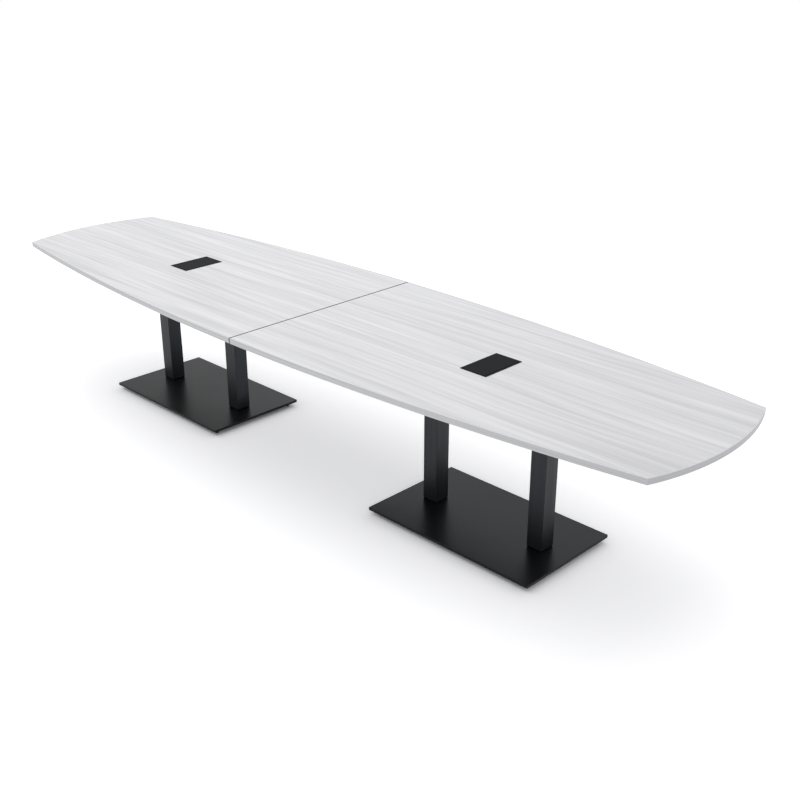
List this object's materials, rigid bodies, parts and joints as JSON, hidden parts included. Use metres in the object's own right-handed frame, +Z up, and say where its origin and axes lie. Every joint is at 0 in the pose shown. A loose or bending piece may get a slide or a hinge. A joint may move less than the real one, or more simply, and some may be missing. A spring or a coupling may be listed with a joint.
{
  "type": "conference table",
  "caption": "Boat-shaped conference table: pale grained laminate top in two halves on black square columns and flat base plates, with a lidded power module let into each half.",
  "frame": {"origin": "on the floor, under the middle of the top", "axes": "+X along the table's length towards the right half, +Y across it towards the rear long side, +Z up; -Y is the front long side"},
  "size_m": [4.267, 1.142, 0.7831],
  "materials": {
    "laminate": "satin laminate on board, fine grey streaks along the length",
    "edge_plastic": "satin pale grey edge band",
    "seam_plastic": "matt black strip",
    "coated_steel": "fine-textured black powder coat",
    "zinc_steel": "bright zinc plating",
    "black_plastic": "matt black",
    "module_metal": "satin charcoal coat",
    "socket_plastic": "satin black"
  },
  "bodies": {
    "table": {"left_top_panel": "laminate", "left_edge_band": "edge_plastic", "left_base_plate": "coated_steel", "left_inner_column": "coated_steel", "left_inner_column_plug": "black_plastic", "left_inner_column_bolt": "zinc_steel", "left_inner_mounting_plate": "coated_steel", "left_outer_column": "coated_steel", "left_outer_column_plug": "black_plastic", "left_outer_column_bolt": "zinc_steel", "left_outer_mounting_plate": "coated_steel", "left_module_bezel": "module_metal", "left_lid_pin": "zinc_steel", "left_module_housing": "coated_steel", "left_socket_panel": "coated_steel", "left_outlet_1": "socket_plastic", "left_outlet_2": "socket_plastic", "left_usb_port": "socket_plastic", "left_data_port": "socket_plastic", "left_cable_gland": "socket_plastic", "left_front_clamp": "zinc_steel", "left_rear_clamp": "zinc_steel", "right_top_panel": "laminate", "right_edge_band": "edge_plastic", "right_base_plate": "coated_steel", "right_inner_column": "coated_steel", "right_inner_column_plug": "black_plastic", "right_inner_column_bolt": "zinc_steel", "right_inner_mounting_plate": "coated_steel", "right_outer_column": "coated_steel", "right_outer_column_plug": "black_plastic", "right_outer_column_bolt": "zinc_steel", "right_outer_mounting_plate": "coated_steel", "right_module_bezel": "module_metal", "right_lid_pin": "zinc_steel", "right_module_housing": "coated_steel", "right_socket_panel": "coated_steel", "right_outlet_1": "socket_plastic", "right_outlet_2": "socket_plastic", "right_usb_port": "socket_plastic", "right_data_port": "socket_plastic", "right_cable_gland": "socket_plastic", "right_front_clamp": "zinc_steel", "right_rear_clamp": "zinc_steel", "seam_spline": "seam_plastic", "seam_plate_front": "zinc_steel", "seam_plate_middle": "zinc_steel", "seam_plate_rear": "zinc_steel"},
    "left_lid": {"left_module_lid": "module_metal"},
    "left_latch": {"left_latch_plunger": "socket_plastic"},
    "right_lid": {"right_module_lid": "module_metal"},
    "right_latch": {"right_latch_plunger": "socket_plastic"},
    "left_inner_front_foot_body": {"left_inner_front_foot": "black_plastic"},
    "left_inner_rear_foot_body": {"left_inner_rear_foot": "black_plastic"},
    "left_outer_front_foot_body": {"left_outer_front_foot": "black_plastic"},
    "left_outer_rear_foot_body": {"left_outer_rear_foot": "black_plastic"},
    "right_inner_front_foot_body": {"right_inner_front_foot": "black_plastic"},
    "right_inner_rear_foot_body": {"right_inner_rear_foot": "black_plastic"},
    "right_outer_front_foot_body": {"right_outer_front_foot": "black_plastic"},
    "right_outer_rear_foot_body": {"right_outer_rear_foot": "black_plastic"}
  },
  "joints": [
    {"name": "left_lid_hinge", "type": "hinge", "parent": "table", "child": "left_lid", "pos_m": [-1.0907, 0, 0.7791], "axis": [0, -1, 0], "range_deg": [0, 95]},
    {"name": "right_lid_hinge", "type": "hinge", "parent": "table", "child": "right_lid", "pos_m": [1.0907, 0, 0.7791], "axis": [0, 1, 0], "range_deg": [0, 95]},
    {"name": "left_latch_press", "type": "slide", "parent": "table", "child": "left_latch", "axis": [0, 0, -1], "range_m": [0, 0.003], "stiffness_N_per_m": 400, "springref_m": -0.002},
    {"name": "right_latch_press", "type": "slide", "parent": "table", "child": "right_latch", "axis": [0, 0, -1], "range_m": [0, 0.003], "stiffness_N_per_m": 400, "springref_m": -0.002},
    {"name": "left_inner_front_foot_adjust", "type": "slide", "parent": "table", "child": "left_inner_front_foot_body", "axis": [0, 0, -1], "range_m": [0, 0.005]},
    {"name": "left_inner_rear_foot_adjust", "type": "slide", "parent": "table", "child": "left_inner_rear_foot_body", "axis": [0, 0, -1], "range_m": [0, 0.005]},
    {"name": "left_outer_front_foot_adjust", "type": "slide", "parent": "table", "child": "left_outer_front_foot_body", "axis": [0, 0, -1], "range_m": [0, 0.005]},
    {"name": "left_outer_rear_foot_adjust", "type": "slide", "parent": "table", "child": "left_outer_rear_foot_body", "axis": [0, 0, -1], "range_m": [0, 0.005]},
    {"name": "right_inner_front_foot_adjust", "type": "slide", "parent": "table", "child": "right_inner_front_foot_body", "axis": [0, 0, -1], "range_m": [0, 0.005]},
    {"name": "right_inner_rear_foot_adjust", "type": "slide", "parent": "table", "child": "right_inner_rear_foot_body", "axis": [0, 0, -1], "range_m": [0, 0.005]},
    {"name": "right_outer_front_foot_adjust", "type": "slide", "parent": "table", "child": "right_outer_front_foot_body", "axis": [0, 0, -1], "range_m": [0, 0.005]},
    {"name": "right_outer_rear_foot_adjust", "type": "slide", "parent": "table", "child": "right_outer_rear_foot_body", "axis": [0, 0, -1], "range_m": [0, 0.005]}
  ]
}
